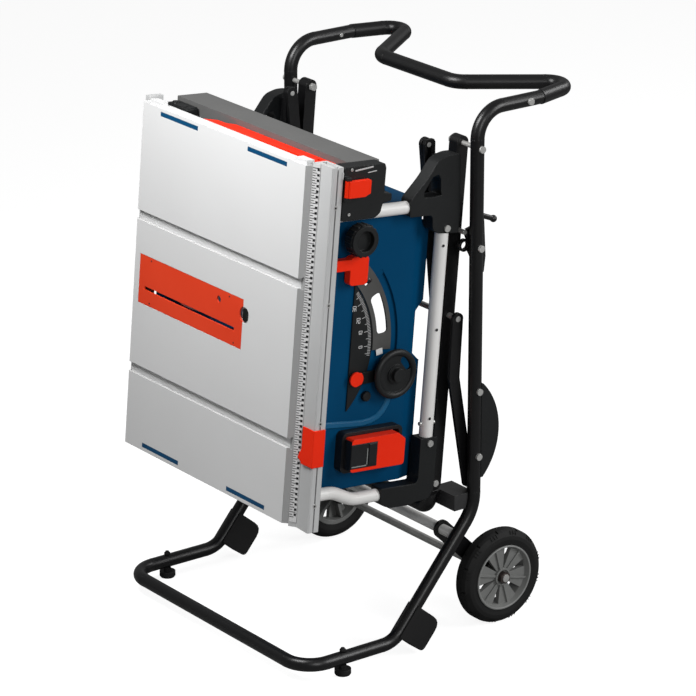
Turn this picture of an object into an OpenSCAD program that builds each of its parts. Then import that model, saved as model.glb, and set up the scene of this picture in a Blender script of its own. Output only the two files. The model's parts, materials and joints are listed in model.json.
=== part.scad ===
// Folding wheeled table saw stand with its saw, stored upright.
// X runs across the stand, +Y to the wheels, +Z up, floor at Z = 0.

/* [Main frame] */
// Distance between the centres of the two side tubes
frame_w = 624; // [600:1:680]
// Diameter of the side tubes
tube_d = 28; // [24:1:32]
// Height of the handle tubes above the floor
handle_z = 1120; // [1090:1:1180]
// Height of the corner where the side tubes bend forward
knee_z = 280; // [270:1:290]
// Height of the front loop above the floor
foot_z = 36; // [30:1:44]
// Distance from the upright tubes to the corner at the floor
toe_reach = 203; // [180:1:230]
// Distance from the upright tubes to the front loop bar
loop_reach = 429; // [400:1:460]
// Distance from the upright tubes back to the handle corners
handle_reach = 293; // [250:1:320]
// Diameter of the handle grip
grip_d = 30; // [26:1:34]
// Diameter of the silver cross tube
cross_tube_d = 22; // [18:1:26]

/* [Wheels] */
// Outer diameter of the tyres
wheel_d = 203; // [190:1:215]
// Width of the tyres
wheel_w = 45; // [36:1:48]
// Diameter of the wheel rims
rim_d = 140; // [120:1:150]
// Distance from the upright tubes back to the axle
axle_reach = 87; // [80:1:110]
// Diameter of the axle
axle_d = 16; // [12:1:20]

/* [Lift linkage] */
// Height of the pivot where the lift rails hang
pivot_z = 1043; // [1030:1:1050]
// Lean of the saw away from the upright tubes
lean = 5; // [4:0.5:6]
// Distance between the two end pivots of a lift rail
rail_l = 713; // [700:1:720]
// Width of the lift rails
rail_w = 26; // [20:1:26]
// Depth of the lift rails
rail_t = 28; // [22:1:30]
// Thickness of the linkage plates
plate_t = 8; // [5:1:8]
// Side gap between neighbouring plates
side_gap = 2; // [1.5:0.25:2]
// Diameter of the pivot pins
pin_d = 10; // [8:0.5:12]
// Radial clearance of pins in their bores
pin_fit = 0.05; // [0.03:0.01:0.1]
// Angle that the lift rails swing forward
lift_travel = 30; // [20:1:32]

/* [Saw table] */
// Length of the table along the lift rails
table_l = 728; // [700:1:740]
// Depth of the table from its back edge to its front edge
table_w = 559; // [540:1:570]
// Height of the table surface above the lift rails
table_h = 381; // [370:1:395]
// Thickness of the table casting
table_t = 30; // [24:1:36]
// Thickness of the table's top skin
skin_t = 7; // [5:1:8]
// Width of the mitre slots
slot_w = 20; // [16:1:24]
// Depth of the mitre slots
slot_t = 9; // [6:1:12]
// Length of the throat plate
throat_l = 365; // [340:1:380]
// Width of the throat plate
throat_w = 104; // [90:1:116]

/* [Saw body] */
// Wall thickness of the housing
wall = 4; // [3:0.5:6]
// Diameter of the silver base tubes
base_tube_d = 28; // [24:1:28]
// Diameter of the silver table supports
leg_tube_d = 26; // [22:1:27]
// Diameter of the saw blade
blade_d = 254; // [216:1:254]
// Radius of the bevel slot about the table line
bevel_r = 247; // [242:1:252]
// Diameter of the height handwheel
handwheel_d = 103; // [80:1:110]
// Diameter of the bevel knob
knob_d = 68; // [50:1:76]
// Depth of the battery from front to back
battery_l = 82; // [70:1:90]

/* [Hidden] */
$fn = 64;

// Places of the main frame, before the shift to the origin
side_x = frame_w / 2;
tube_r = tube_d / 2;
mast_y = 75;
arm_joint_y = mast_y + 159;
toe_y = mast_y - toe_reach;
loop_joint_y = mast_y - 280;
loop_y = mast_y - loop_reach;
axle_y = mast_y + axle_reach;
axle_z = wheel_d / 2;
bolt_d = 8;
head_d = 14;
head_t = 5;
seat = 0.3;

// Side layers from the outside in: mast, lower arm, rail, plate, upper arm
mast_in = side_x - tube_r;
rail_gap = 22;
arm_lo_out = mast_in - side_gap;
arm_lo_in = arm_lo_out - plate_t;
rail_out = arm_lo_in - rail_gap;
rail_in = rail_out - rail_w;
rail_x = rail_in + rail_w / 2;
plate_out = rail_in - side_gap;
plate_in = plate_out - plate_t;
arm_up_out = plate_in - side_gap;
arm_up_in = arm_up_out - plate_t;

// Linkage points
half_l = rail_l / 2;
mid_y = mast_y - half_l * sin(lean);
mid_z = pivot_z - half_l * cos(lean);
foot_pin_z = pivot_z - rail_l * cos(lean);
lean_max = lean + lift_travel;
guide_travel = rail_l * (cos(lean) - cos(lean_max));
head_pin_y = mast_y - rail_l * sin(lean);
arm_w = 25;
tube_wall = 2;
shaft_d = 12;

// Saw frame: local X across, local Y up the lift rail, local Z to the table
table_x1 = -299;
table_x2 = table_x1 + table_w;
table_v = 12;
blade_v = 396;
throat_x = -277;
housing_v1 = 112;
housing_v2 = 690;
housing_x1 = -256;
housing_x2 = 262;
housing_low = 56;
bracket_x1 = housing_x2 + 0.4;
bracket_x2 = arm_lo_out - 2;
bracket_t = bracket_x2 - bracket_x1;
bracket_x = bracket_x1 + bracket_t / 2;
base_x = bracket_x;
base_w = rail_t / 2 + base_tube_d / 2 + 18.5;
rail_low = table_h - 43;
handwheel_a = -14;
knob_v = 164;
knob_z = 260;

// Half way between the outermost points, so that the origin is central
head_x1 = housing_x2 + 30;
head_x2 = head_x1 + 32;
latch_x = head_x2 + seat;
latch_t = 14;
x_high = latch_x + latch_t;
x_low = -side_x - tube_r - head_t;
grip_in_x = 125;
grip_corner_x = side_x - 37;
grip_mid_y = mast_y + 91;
grip_back_y = mast_y + handle_reach;
grip_bend = 34;
handle_path = [[side_x, arm_joint_y + seat, handle_z], [grip_corner_x, grip_back_y, handle_z],
    [grip_in_x, grip_mid_y, handle_z], [-grip_in_x, grip_mid_y, handle_z],
    [-grip_corner_x, grip_back_y, handle_z], [-side_x, arm_joint_y + seat, handle_z]];
grip_centre = bend_centre(handle_path[0], handle_path[1], handle_path[2], grip_bend);
y_back = grip_centre[1] + grip_bend + grip_d / 2;
y_front = min(loop_y - tube_r - 0.15,
    mast_y - (table_v + table_l) * sin(lean) - table_h * cos(lean));
shift_x = (x_high + x_low) / 2;
shift_y = (y_back + y_front) / 2;

function unit(v) = v / norm(v);
function cut_back(p0, p1, p2, bend_r) =
    bend_r * tan(acos(unit(p1 - p0) * unit(p2 - p1)) / 2);
function bend_centre(p0, p1, p2, bend_r) =
    let (u = unit(p1 - p0), v = unit(p2 - p1))
    p1 - u * cut_back(p0, p1, p2, bend_r) + unit(v - u * (u * v)) * bend_r;

module place() { translate([-shift_x, -shift_y, 0]) children(); }

module side(s) {
    if (s < 0) mirror([1, 0, 0]) children();
    else children();
}

module both() { for (s = [-1, 1]) side(s) children(); }

// Puts children that are drawn in the saw's own frame onto the stand
module on_saw() {
    place() translate([0, mast_y, pivot_z]) rotate([90 - lean, 0, 0]) children();
}

module rod(a, b, r) {
    d = b - a;
    translate(a) rotate([0, acos(d[2] / norm(d)), atan2(d[1], d[0])])
        cylinder(h = norm(d), r = r);
}

// Rod along X between two X values at a given Y and Z
module x_rod(x1, x2, y, z, r) {
    translate([x1, y, z]) rotate([0, 90, 0]) cylinder(h = x2 - x1, r = r);
}

// Bend that follows the corner p0, p1, p2, with a fine ring closing each end
module elbow(p0, p1, p2, bend_r, r) {
    u = unit(p1 - p0);
    v = unit(p2 - p1);
    a = acos(u * v);
    t = bend_r * tan(a / 2);
    n = unit(v - u * (u * v));
    c = p1 - u * t + n * bend_r;
    k = cross(-n, u);
    multmatrix([[-n[0], u[0], k[0], c[0]], [-n[1], u[1], k[1], c[1]],
                [-n[2], u[2], k[2], c[2]], [0, 0, 0, 1]])
        rotate_extrude(angle = a) translate([bend_r, 0]) circle(r = r);
    rod(p1 - u * (t + 2.5), p1 - u * (t - 1.5), r + 0.15);
    rod(p1 + v * (t - 1.5), p1 + v * (t + 2.5), r + 0.15);
}

// Round tube along points p, with one bend radius for each inner point
module bent_tube(p, bends, r) {
    n = len(p);
    for (i = [0 : n - 2]) {
        u = unit(p[i + 1] - p[i]);
        t0 = i == 0 ? 0 : cut_back(p[i - 1], p[i], p[i + 1], bends[i - 1]) + 0.5;
        t1 = i == n - 2 ? 0 : cut_back(p[i], p[i + 1], p[i + 2], bends[i]) + 0.5;
        rod(p[i] + u * t0, p[i + 1] - u * t1, r);
    }
    for (i = [1 : n - 2]) elbow(p[i - 1], p[i], p[i + 1], bends[i - 1], r);
}

// Outline p with every corner rounded from a distance cut[i] before it
function soft(p, cut, k = 4) = [for (i = [0 : len(p) - 1])
    let (b = p[i], a = p[(i + len(p) - 1) % len(p)], c = p[(i + 1) % len(p)],
        s = b + unit(a - b) * cut[i], e = b + unit(c - b) * cut[i])
    for (j = [0 : cut[i] > 0 ? k : 0]) let (t = j / k)
        (1 - t) * (1 - t) * s + 2 * t * (1 - t) * b + t * t * e];

// Flat outline with round corners, centred
module round_rect(w, h, r) {
    square([w - 2 * r, h], center = true);
    square([w, h - 2 * r], center = true);
    for (x = [-1, 1], y = [-1, 1])
        translate([x * (w / 2 - r), y * (h / 2 - r)]) circle(r = r);
}

// Flat bar outline with slightly wider round eyes at both ends
module bar2d(a, b, w) {
    d = b - a;
    translate(a) rotate(atan2(d[1], d[0])) translate([0, -w / 2]) square([norm(d), w]);
    translate(a) circle(d = w + 0.4);
    translate(b) circle(d = w + 0.4);
}

// Plate drawn as a (Y, Z) outline, lying between two X values
module x_plate(x1, x2) {
    translate([x1, 0, 0]) rotate([90, 0, 90]) linear_extrude(x2 - x1) children();
}

// Sector of a ring about the bevel centre; angles grow up the saw
module bevel_sector(r1, r2, a1, a2) {
    translate([-blade_v, table_h]) intersection() {
        difference() {
            circle(r = r2, $fn = 128);
            circle(r = r1, $fn = 128);
        }
        polygon(concat([[0, 0]],
            [for (i = [0 : 4]) let (a = a1 + (a2 - a1) * i / 4)
                2 * r2 * [sin(a), -cos(a)]]));
    }
}

// MAIN FRAME

function side_points() = [
    [side_x, arm_joint_y, handle_z], [side_x, mast_y, handle_z],
    [side_x, mast_y, knee_z], [side_x, toe_y, foot_z],
    [side_x, loop_joint_y, foot_z]];
side_bends = [60, 95, 60];
skid_bolt_z = [395, 535];
release_z = 838;
handle_bolt_y = mast_y + 122;
block_s = 150;
guide_depth = 9;

module side_tube() {
    color([0.06, 0.06, 0.07]) difference() {
        bent_tube(side_points(), side_bends, tube_r);
        bent_tube(side_points(), side_bends, tube_r - tube_wall);
        for (z = [pivot_z, release_z])
            x_rod(mast_in - 1, side_x + tube_r + 1, mast_y, z, pin_d / 2 + pin_fit);
        x_rod(side_x, side_x + tube_r + 1, mast_y, skid_bolt_z[0], bolt_d / 2 + pin_fit);
        x_rod(mast_in - 1, side_x + tube_r + 1, mast_y, skid_bolt_z[1], bolt_d / 2 + pin_fit);
        x_rod(mast_in - 1, side_x + tube_r + 1, handle_bolt_y, handle_z, bolt_d / 2 + pin_fit);
        // Guide slot for the roller of the lower arm
        x_plate(mast_in - 1, mast_in + guide_depth)
            bar2d([mast_y, foot_pin_z], [mast_y, foot_pin_z + guide_travel], pin_d + 2 * seat);
    }
}

module side_tube_left() { place() side(-1) side_tube(); }
module side_tube_right() { place() side_tube(); }

module handle_bar() {
    bends = [grip_bend, 45, 45, grip_bend];
    u = 5 * unit(handle_path[1] - handle_path[0]);
    p = [handle_path[0] - u, handle_path[1], handle_path[2], handle_path[3], handle_path[4],
         handle_path[5] - [-u[0], u[1], 0]];
    color([0.05, 0.05, 0.055]) place() difference() {
        bent_tube(p, bends, grip_d / 2);
        bent_tube(p, bends, grip_d / 2 - tube_wall - 1);
        // Square ends that meet the side tubes
        both() translate([side_x - 25, arm_joint_y - 40, handle_z - 30]) cube([50, 40 + seat, 60]);
    }
}

module foot_loop() {
    p = [[side_x, loop_joint_y - seat, foot_z], [side_x, loop_y, foot_z],
         [-side_x, loop_y, foot_z], [-side_x, loop_joint_y - seat, foot_z]];
    color([0.05, 0.05, 0.055]) place() difference() {
        bent_tube(p, [58, 58], tube_r);
        bent_tube(p, [58, 58], tube_r - tube_wall);
        both() translate([side_x, stud_y, 0])
            cylinder(h = 2 * foot_z, r = bolt_d / 2 + pin_fit);
    }
}

cross_y = mast_y - 39;
cross_z = knee_z - 55;
module lower_cross_tube() {
    color([0.62, 0.63, 0.64]) place() difference() {
        x_rod(-mast_in, mast_in, cross_y, cross_z, cross_tube_d / 2);
        x_rod(-mast_in - 1, mast_in + 1, cross_y, cross_z, cross_tube_d / 2 - tube_wall);
    }
}

bracket_in = side_x - 48;
wheel_x = side_x - 3 - wheel_w / 2;
axle_plate_out = wheel_x - wheel_w / 2 - 3;
axle_plate_w = 38;
module axle_brackets() {
    color([0.05, 0.05, 0.055]) place() both() {
        x_plate(axle_plate_out - 6, axle_plate_out) difference() {
            bar2d([cross_y, cross_z], [axle_y, axle_z], axle_plate_w);
            translate([cross_y, cross_z]) circle(r = cross_tube_d / 2 + pin_fit);
            translate([axle_y, axle_z]) circle(r = axle_d / 2 + pin_fit);
        }
    }
}

module wheel_axle() {
    color([0.6, 0.6, 0.6]) place()
        x_rod(-wheel_x - wheel_w / 2 - 6, wheel_x + wheel_w / 2 + 6, axle_y, axle_z, axle_d / 2);
}

module axle_nuts() {
    nut_x = wheel_x + wheel_w / 2 - 7.5;
    color([0.35, 0.3, 0.28]) place() both() difference() {
        translate([nut_x, axle_y, axle_z]) rotate([0, 90, 0]) cylinder(h = 11, d = 26, $fn = 6);
        x_rod(nut_x - 1, nut_x + 12, axle_y, axle_z, axle_d / 2 + pin_fit);
    }
}

module skid_plates() {
    mid = (skid_bolt_z[0] + skid_bolt_z[1]) / 2 - 17;
    skid_r = 145;
    color([0.04, 0.04, 0.045]) place() both() difference() {
        x_plate(side_x - 11, side_x + 11) intersection() {
            translate([mast_y + 55 - skid_r, mid]) circle(r = skid_r, $fn = 96);
            translate([mast_y + 6, mid - 101]) square([60, 202]);
        }
        rod([side_x, mast_y, 0], [side_x, mast_y, handle_z], tube_r + seat);
    }
}

// Blocks that stand behind the lower bend, parallel to the slanting tube
slant = atan2(toe_reach, knee_z - foot_z);
module foot_blocks() {
    color([0.05, 0.05, 0.055]) place() both() difference() {
        translate([side_x - 17, mast_y, knee_z]) rotate([-slant, 0, 0])
            x_plate(0, 34) polygon(soft([[-block_in, -block_low], [68, -block_low],
                [68, 73 - block_low], [-block_in, 73 - block_low]], [0, 12, 24, 0]));
        bent_tube(side_points(), side_bends, tube_r + seat);
    }
}
block_in = 6;
block_low = 304;

stud_y = mast_y - 332;
module levelling_foot() {
    color([0.07, 0.07, 0.07]) translate([side_x, stud_y, 0]) {
        cylinder(h = 3, d1 = 30, d2 = 34);
        translate([0, 0, 3]) cylinder(h = 10, d = 34);
        translate([0, 0, 13]) cylinder(h = foot_z + tube_r + 8 - 13, d = bolt_d);
        translate([0, 0, 13]) cylinder(h = 8, d = 16, $fn = 6);
        translate([0, 0, foot_z + tube_r + 0.2]) cylinder(h = 5, d = 13, $fn = 6);
    }
}

module levelling_foot_left() { place() side(-1) levelling_foot(); }
module levelling_foot_right() { place() levelling_foot(); }

module cross_bolt(x, y, z) {
    x_rod(x, side_x + tube_r, y, z, bolt_d / 2);
    x_rod(side_x + tube_r, side_x + tube_r + head_t, y, z, head_d / 2);
}

module frame_bolts() {
    color([0.7, 0.7, 0.7]) place() both() {
        cross_bolt(side_x + tube_r - 6, mast_y, skid_bolt_z[0]);
        cross_bolt(mast_in - 1, mast_y, skid_bolt_z[1]);
        cross_bolt(mast_in - 1, handle_bolt_y, handle_z);
    }
}

module rest_brackets() {
    low = knee_z + 3;
    front = mast_y - (pivot_z - low - 33) * tan(lean) + rail_t / 2 / cos(lean) + seat;
    color([0.16, 0.16, 0.17]) place() both() difference() {
        translate([rail_in, front, low]) cube([side_x - rail_in, mast_y - front, 33]);
        translate([rail_in + 4, front + 4, low - 1]) cube([rail_w - 4, mast_y - front - 12, 29]);
        bent_tube(side_points(), side_bends, tube_r + seat);
    }
}

module pivot_bolts() {
    color([0.7, 0.7, 0.7]) place() {
        both() {
            x_rod(plate_in, side_x + tube_r, mast_y, pivot_z, pin_d / 2);
            x_rod(side_x + tube_r, side_x + tube_r + head_t, mast_y, pivot_z, head_d / 2);
            translate([plate_in - 1, mast_y, pivot_z]) rotate([0, 90, 0])
                cylinder(h = plate_t, d = 16, $fn = 6);
        }
        x_rod(arm_lo_in - 1, side_x + tube_r, mast_y, release_z, pin_d / 2);
        x_rod(side_x + tube_r, side_x + tube_r + head_t, mast_y, release_z, head_d / 2);
    }
}

// WHEELS

hub_r = 19;
module wheel() {
    half = wheel_w / 2;
    color([0.43, 0.44, 0.44]) translate([wheel_x, axle_y, axle_z]) rotate([0, 90, 0]) difference() {
        union() {
            // Rim ring with an outer lip
            rotate_extrude($fn = 96) polygon([[rim_d / 2 - 9, -half + 4], [rim_d / 2, -half + 4],
                [rim_d / 2, half], [rim_d / 2 - 4, half], [rim_d / 2 - 9, half - 12]]);
            cylinder(h = 2 * half - 8, r = hub_r, center = true);
            // Six spokes that widen to the rim, each with a ridge and a web
            for (i = [0 : 5]) rotate([0, 0, 60 * i + 15]) {
                translate([0, 0, half - 20]) linear_extrude(10)
                    polygon([[hub_r - 4, -8], [rim_d / 2 - 8, -25], [rim_d / 2 - 8, 25], [hub_r - 4, 8]]);
                translate([hub_r - 4, -2.5, half - 12]) cube([rim_d / 2 - 6 - hub_r + 4, 5, 6]);
                translate([hub_r - 4, -3, -half + 8]) cube([rim_d / 2 - 7 - hub_r + 4, 6, 2 * half - 20]);
            }
        }
        cylinder(h = 3 * half, r = axle_d / 2 + pin_fit, center = true);
        translate([0, 0, half - 8]) cylinder(h = 20, r = hub_r - 4);
    }
}

module tyre() {
    half = wheel_w / 2;
    out_r = wheel_d / 2;
    in_r = rim_d / 2 + pin_fit;
    color([0.09, 0.09, 0.09]) translate([wheel_x, axle_y, axle_z]) rotate([0, 90, 0]) difference() {
        rotate_extrude($fn = 96) polygon([[in_r, -half + 2], [in_r + 12, -half],
            [out_r - 12, -half + 1], [out_r - 3, -half + 8], [out_r, -half + 14], [out_r, half - 14],
            [out_r - 3, half - 8], [out_r - 12, half - 1], [in_r + 12, half], [in_r, half - 2]]);
        // Tread grooves on both shoulders
        for (i = [0 : 11], s = [-1, 1]) rotate([0, 0, 30 * i + 7.5 * s])
            translate([out_r - 3.5, -2, s > 0 ? 4 : -half]) cube([6, 4, half - 4]);
    }
}

module wheel_left() { place() side(-1) wheel(); }
module tyre_left() { place() side(-1) tyre(); }
module wheel_right() { place() wheel(); }
module tyre_right() { place() tyre(); }

// LIFT LINKAGE

latch_v = 177;
module lift_rail() {
    color([0.055, 0.055, 0.06]) difference() {
        x_plate(rail_in, rail_out) difference() {
            bar2d([0, 0], [-rail_l, 0], rail_t);
            for (v = [0, rail_l]) translate([-v, 0]) circle(r = pin_d / 2 + pin_fit);
            translate([-half_l, 0]) circle(r = shaft_d / 2 + pin_fit);
            translate([-latch_v, 0]) circle(r = pin_d / 2 + pin_fit);
        }
        // The rail is an open channel on its back
        x_plate(rail_in + 4, rail_out - 4) difference() {
            translate([-rail_l + 24, -rail_t / 2 - 1]) square([rail_l - 48, rail_t - 5]);
            translate([-half_l - 14, -rail_t]) square([28, 2 * rail_t]);
            translate([-latch_v - 10, -rail_t]) square([20, 2 * rail_t]);
        }
    }
}

module lift_rail_left() { on_saw() side(-1) lift_rail(); }
module lift_rail_right() { on_saw() lift_rail(); }

module lift_rail_pins() {
    color([0.7, 0.7, 0.7]) on_saw() {
        both() {
            x_rod(plate_in - 1, rail_out, -rail_l, 0, pin_d / 2);
            x_rod(rail_out, rail_out + side_gap - 0.5, -rail_l, 0, head_d / 2);
        }
        x_rod(rail_out - 20, arm_lo_out - 1, -latch_v, 0, pin_d / 2);
    }
}

// Lower arms run outside the rails from the middle shaft down to the mast guides
knee_arm = [mid_y - 8, mid_z - 125];
module cross_arms_lower() {
    color([0.06, 0.06, 0.065]) place() both() x_plate(arm_lo_in, arm_lo_out) difference() {
        union() {
            bar2d([mid_y, mid_z], knee_arm, arm_w);
            bar2d(knee_arm, [mast_y, foot_pin_z], arm_w);
        }
        translate([mid_y, mid_z]) circle(r = shaft_d / 2 + pin_fit);
        translate([mast_y, foot_pin_z]) circle(r = pin_d / 2 + pin_fit);
    }
}

// Upper arms run inside the rails from the middle shaft up to the saw plates
module cross_arms_upper() {
    color([0.06, 0.06, 0.065]) place() both() x_plate(arm_up_in, arm_up_out) difference() {
        bar2d([mid_y, mid_z], [head_pin_y, pivot_z], arm_w);
        translate([mid_y, mid_z]) circle(r = shaft_d / 2 + pin_fit);
        translate([head_pin_y, pivot_z]) circle(r = pin_d / 2 + pin_fit);
    }
}

// Middle shaft, and the short pins that run in the slots
module cross_pins() {
    color([0.65, 0.65, 0.65]) place() {
        x_rod(-arm_lo_out, arm_lo_out, mid_y, mid_z, shaft_d / 2);
        both() {
            x_rod(arm_lo_in, mast_in + guide_depth - side_gap, mast_y, foot_pin_z, pin_d / 2);
            x_rod(arm_up_in, plate_out - 0.5, head_pin_y, pivot_z, pin_d / 2);
        }
    }
}

// Release lever on the right mast, with a peg that points backwards
latch_y = mast_y - latch_v * sin(lean);
latch_z = pivot_z - latch_v * cos(lean);
peg_y = mast_y + 20;
peg_z = release_z + 58;
module release_lever() {
    color([0.05, 0.05, 0.055]) place() {
        x_plate(arm_lo_in, arm_lo_out) difference() {
            union() {
                polygon([[mast_y - 6, release_z - 12], [mast_y + 24, release_z - 70],
                    [mast_y + 33, release_z - 62], [mast_y + 37, release_z - 30],
                    [mast_y + 33, release_z + 40], [mast_y + 29, release_z + 78],
                    [mast_y + 18, release_z + 84], [mast_y + 10, release_z + 60],
                    [mast_y + 4, release_z + 38], [latch_y + 2, latch_z + 5],
                    [latch_y + 2, latch_z - 5], [mast_y - 8, release_z + 10]]);
                translate([mast_y, release_z]) circle(r = 13);
                translate([mast_y - 17, release_z + 2]) circle(r = 13);
            }
            translate([mast_y - 17, release_z + 2]) circle(r = 8);
            translate([mast_y, release_z]) circle(r = pin_d / 2 + pin_fit);
            translate([latch_y, latch_z]) circle(r = pin_d / 2 + 1.5);
        }
        // Peg that points backwards for the hand
        rod([arm_lo_in - 5, peg_y - 2, peg_z + 1], [arm_lo_in - 5, peg_y + 46, peg_z - 19], 5.5);
        translate([arm_lo_in - 5, peg_y + 46, peg_z - 19]) sphere(r = 7.5);
    }
}

// SAW CARRIER

// Outlines here are (local Y, local Z), with local Y pointing up the rail
head_u = (head_pin_y - mast_y) * sin(lean);
head_w = -(head_pin_y - mast_y) * cos(lean);
slot_end_u = head_u - guide_travel * cos(lean);
slot_end_w = head_w - guide_travel * sin(lean);
stub_top = rail_l + rail_t / 2 + 2;
stub_end = rail_l + 72;
stub_bend = stub_top + 9;

module carrier_plates() {
    color([0.055, 0.055, 0.06]) on_saw() both() {
        // Upper plate with the slot for the upper arm
        x_plate(plate_in, plate_out) difference() {
            slot_plate();
            bar2d([head_u, head_w], [slot_end_u, slot_end_w], pin_d + 2 * seat);
        }
        // Lower plate with the pivot, and the stub below it
        x_plate(plate_in, plate_out) difference() {
            union() {
                translate([-rail_l, 0]) circle(d = rail_t);
                translate([-stub_bend, -rail_t / 2]) square([stub_bend - rail_l, rail_t + 34]);
                translate([-rail_l, 0]) square([30, rail_t / 2 + 34]);
            }
            translate([-rail_l, 0]) circle(r = pin_d / 2 + pin_fit);
        }
        x_plate(plate_out, rail_out)
            translate([-stub_bend, -rail_t / 2]) square([stub_bend - stub_top, rail_t]);
        // Spacers to the corner brackets
        x_plate(plate_out, bracket_x1) {
            translate([-100, rail_t / 2 + 27]) square([76, 16]);
            translate([-rail_l - 15, rail_t / 2 + 4]) square([34, 32]);
        }
    }
}

module slot_plate() {
    polygon([[head_u + 11, head_w + 9], [head_u + 11, head_w - 11], [0, head_w - 15],
        [slot_end_u - 12, slot_end_w - 14], [slot_end_u - 12, slot_end_w + 8],
        [slot_end_u - 4, slot_end_w + 10], [head_u, head_w + 11]]);
}

module carrier_crossbar() {
    v = stub_end - rail_t / 2;
    p = [[rail_x, -stub_bend, 0], [rail_x, -v, 0], [-rail_x, -v, 0], [-rail_x, -stub_bend, 0]];
    color([0.055, 0.055, 0.06]) on_saw() difference() {
        bent_tube(p, [27, 27], rail_t / 2 - 0.2);
        bent_tube(p, [27, 27], rail_t / 2 - tube_wall - 0.2);
    }
}

upper_leg_v = 115;
lower_leg_v = rail_l - 4;
upper_end_w = 142;
lower_end_w = 162;
leg_depth = 30;
upper_socket_v = 176;
lower_socket_v = rail_l - 113;
leg_top = table_h - table_t;
table_leg_x = bracket_x;

module base_tubes() {
    color([0.72, 0.72, 0.71]) on_saw() both() difference() {
        rod([base_x, -upper_socket_v + 25, base_w], [base_x, -lower_socket_v - 25, base_w],
            base_tube_d / 2);
        rod([base_x, -upper_socket_v + 26, base_w], [base_x, -lower_socket_v - 26, base_w],
            base_tube_d / 2 - tube_wall);
        saw_bolt_bores();
    }
}

bracket_low = max(base_w - base_tube_d / 2 - 5, rail_t / 2 + 1);
bracket_top = base_w + base_tube_d / 2 + 10;
module corner_brackets_upper() {
    low = rail_t / 2 + 2;
    color([0.06, 0.065, 0.065]) on_saw() both() difference() {
        x_plate(bracket_x1, bracket_x2) difference() {
            polygon(soft([[-upper_leg_v + 102, base_w + 4], [-upper_leg_v + 102, low + 10],
                [-upper_socket_v + 40, low], [-upper_socket_v, low],
                [-upper_socket_v + 4, bracket_top - 2], [-upper_socket_v + 14, bracket_top + 12],
                [-upper_leg_v - 18, bracket_top + 14], [-upper_leg_v - 17, upper_end_w],
                [-upper_leg_v + 17, upper_end_w], [-upper_leg_v + 56, upper_end_w - 37],
                [-upper_leg_v + 94, base_w + 32]],
                [8, 8, 0, 0, 3, 7, 10, 4, 6, 10, 12]));
            polygon(soft([[-upper_leg_v + 64, 77], [-upper_leg_v + 60, 92],
                [-upper_leg_v + 30, 111], [-upper_leg_v + 20, 110], [-upper_leg_v + 19, 90],
                [-upper_leg_v + 21, 66], [-upper_leg_v + 30, 69], [-upper_leg_v + 54, 71]],
                [3, 4, 3, 4, 4, 2, 3, 3]));
        }
        rod([base_x, -upper_socket_v + 25 + seat, base_w],
            [base_x, -upper_socket_v - 5, base_w], base_tube_d / 2 + pin_fit);
        rod([table_leg_x, -upper_leg_v, upper_end_w - leg_depth - seat],
            [table_leg_x, -upper_leg_v, upper_end_w + 30], leg_tube_d / 2 + pin_fit);
        saw_bolt_bores();
    }
}

module corner_brackets_lower() {
    color([0.06, 0.065, 0.065]) on_saw() both() difference() {
        x_plate(bracket_x1, bracket_x2)
            polygon(soft([[-lower_socket_v, bracket_low], [-lower_leg_v - 3, bracket_low],
                [-lower_leg_v - 22, bracket_low + 12], [-lower_leg_v - 24, bracket_low + 46],
                [-lower_leg_v - 28, bracket_low + 58], [-lower_leg_v - 27, lower_end_w - 23],
                [-lower_leg_v - 17, lower_end_w], [-lower_leg_v + 17, lower_end_w + 1],
                [-lower_leg_v + 16, bracket_top + 4], [-lower_leg_v + 24, bracket_top - 1],
                [-lower_socket_v, bracket_top]],
                [0, 8, 8, 5, 5, 10, 8, 3, 5, 4, 0]));
        rod([base_x, -lower_socket_v - 25 - seat, base_w],
            [base_x, -lower_socket_v + 5, base_w], base_tube_d / 2 + pin_fit);
        rod([table_leg_x, -lower_leg_v, lower_end_w - leg_depth - seat],
            [table_leg_x, -lower_leg_v, lower_end_w + 30], leg_tube_d / 2 + pin_fit);
        saw_bolt_bores();
    }
}

module leg_tubes(top, r) {
    bow = 22;
    rod([table_leg_x, -upper_leg_v, upper_end_w - leg_depth], [table_leg_x, -upper_leg_v, top], r);
    bent_tube([[table_leg_x, -lower_leg_v, lower_end_w - leg_depth], [table_leg_x, -lower_leg_v, 225],
        [table_leg_x, -lower_leg_v + bow, 275], [table_leg_x, -lower_leg_v + bow, top]], [60, 60], r);
}

// The right legs carry the front rail, the left ones reach the table's skin
module table_supports() {
    color([0.72, 0.72, 0.71]) on_saw() for (s = [-1, 1]) side(s) difference() {
        top = s > 0 ? rail_low - seat : table_h - skin_t - seat;
        leg_tubes(top, leg_tube_d / 2);
        leg_tubes(top, leg_tube_d / 2 - tube_wall);
    }
}

saw_bolt_v = [upper_socket_v - 12, lower_socket_v + 12];
module saw_bolt_bores() {
    for (v = saw_bolt_v) x_rod(bracket_x1 - 1, bracket_x2 + 1, -v, base_w, bolt_d / 2 + pin_fit);
}

module saw_bolts() {
    color([0.75, 0.75, 0.75]) on_saw() both() for (v = saw_bolt_v) {
        x_rod(bracket_x1, bracket_x2, -v, base_w, bolt_d / 2);
        x_rod(bracket_x2, bracket_x2 + 3.5, -v, base_w, head_d / 2);
    }
}

// HOUSING

module housing_section(t) {
    polygon([[housing_x1 + t, housing_low - 10 * (t > 0 ? 1 : 0)], [housing_x1 + t, leg_top - seat + t],
        [housing_x2 - t, leg_top - seat + t], [housing_x2 - t, housing_low + 40],
        [housing_x2 - 13 - t, housing_low - 10 * (t > 0 ? 1 : 0)]]);
}

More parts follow.
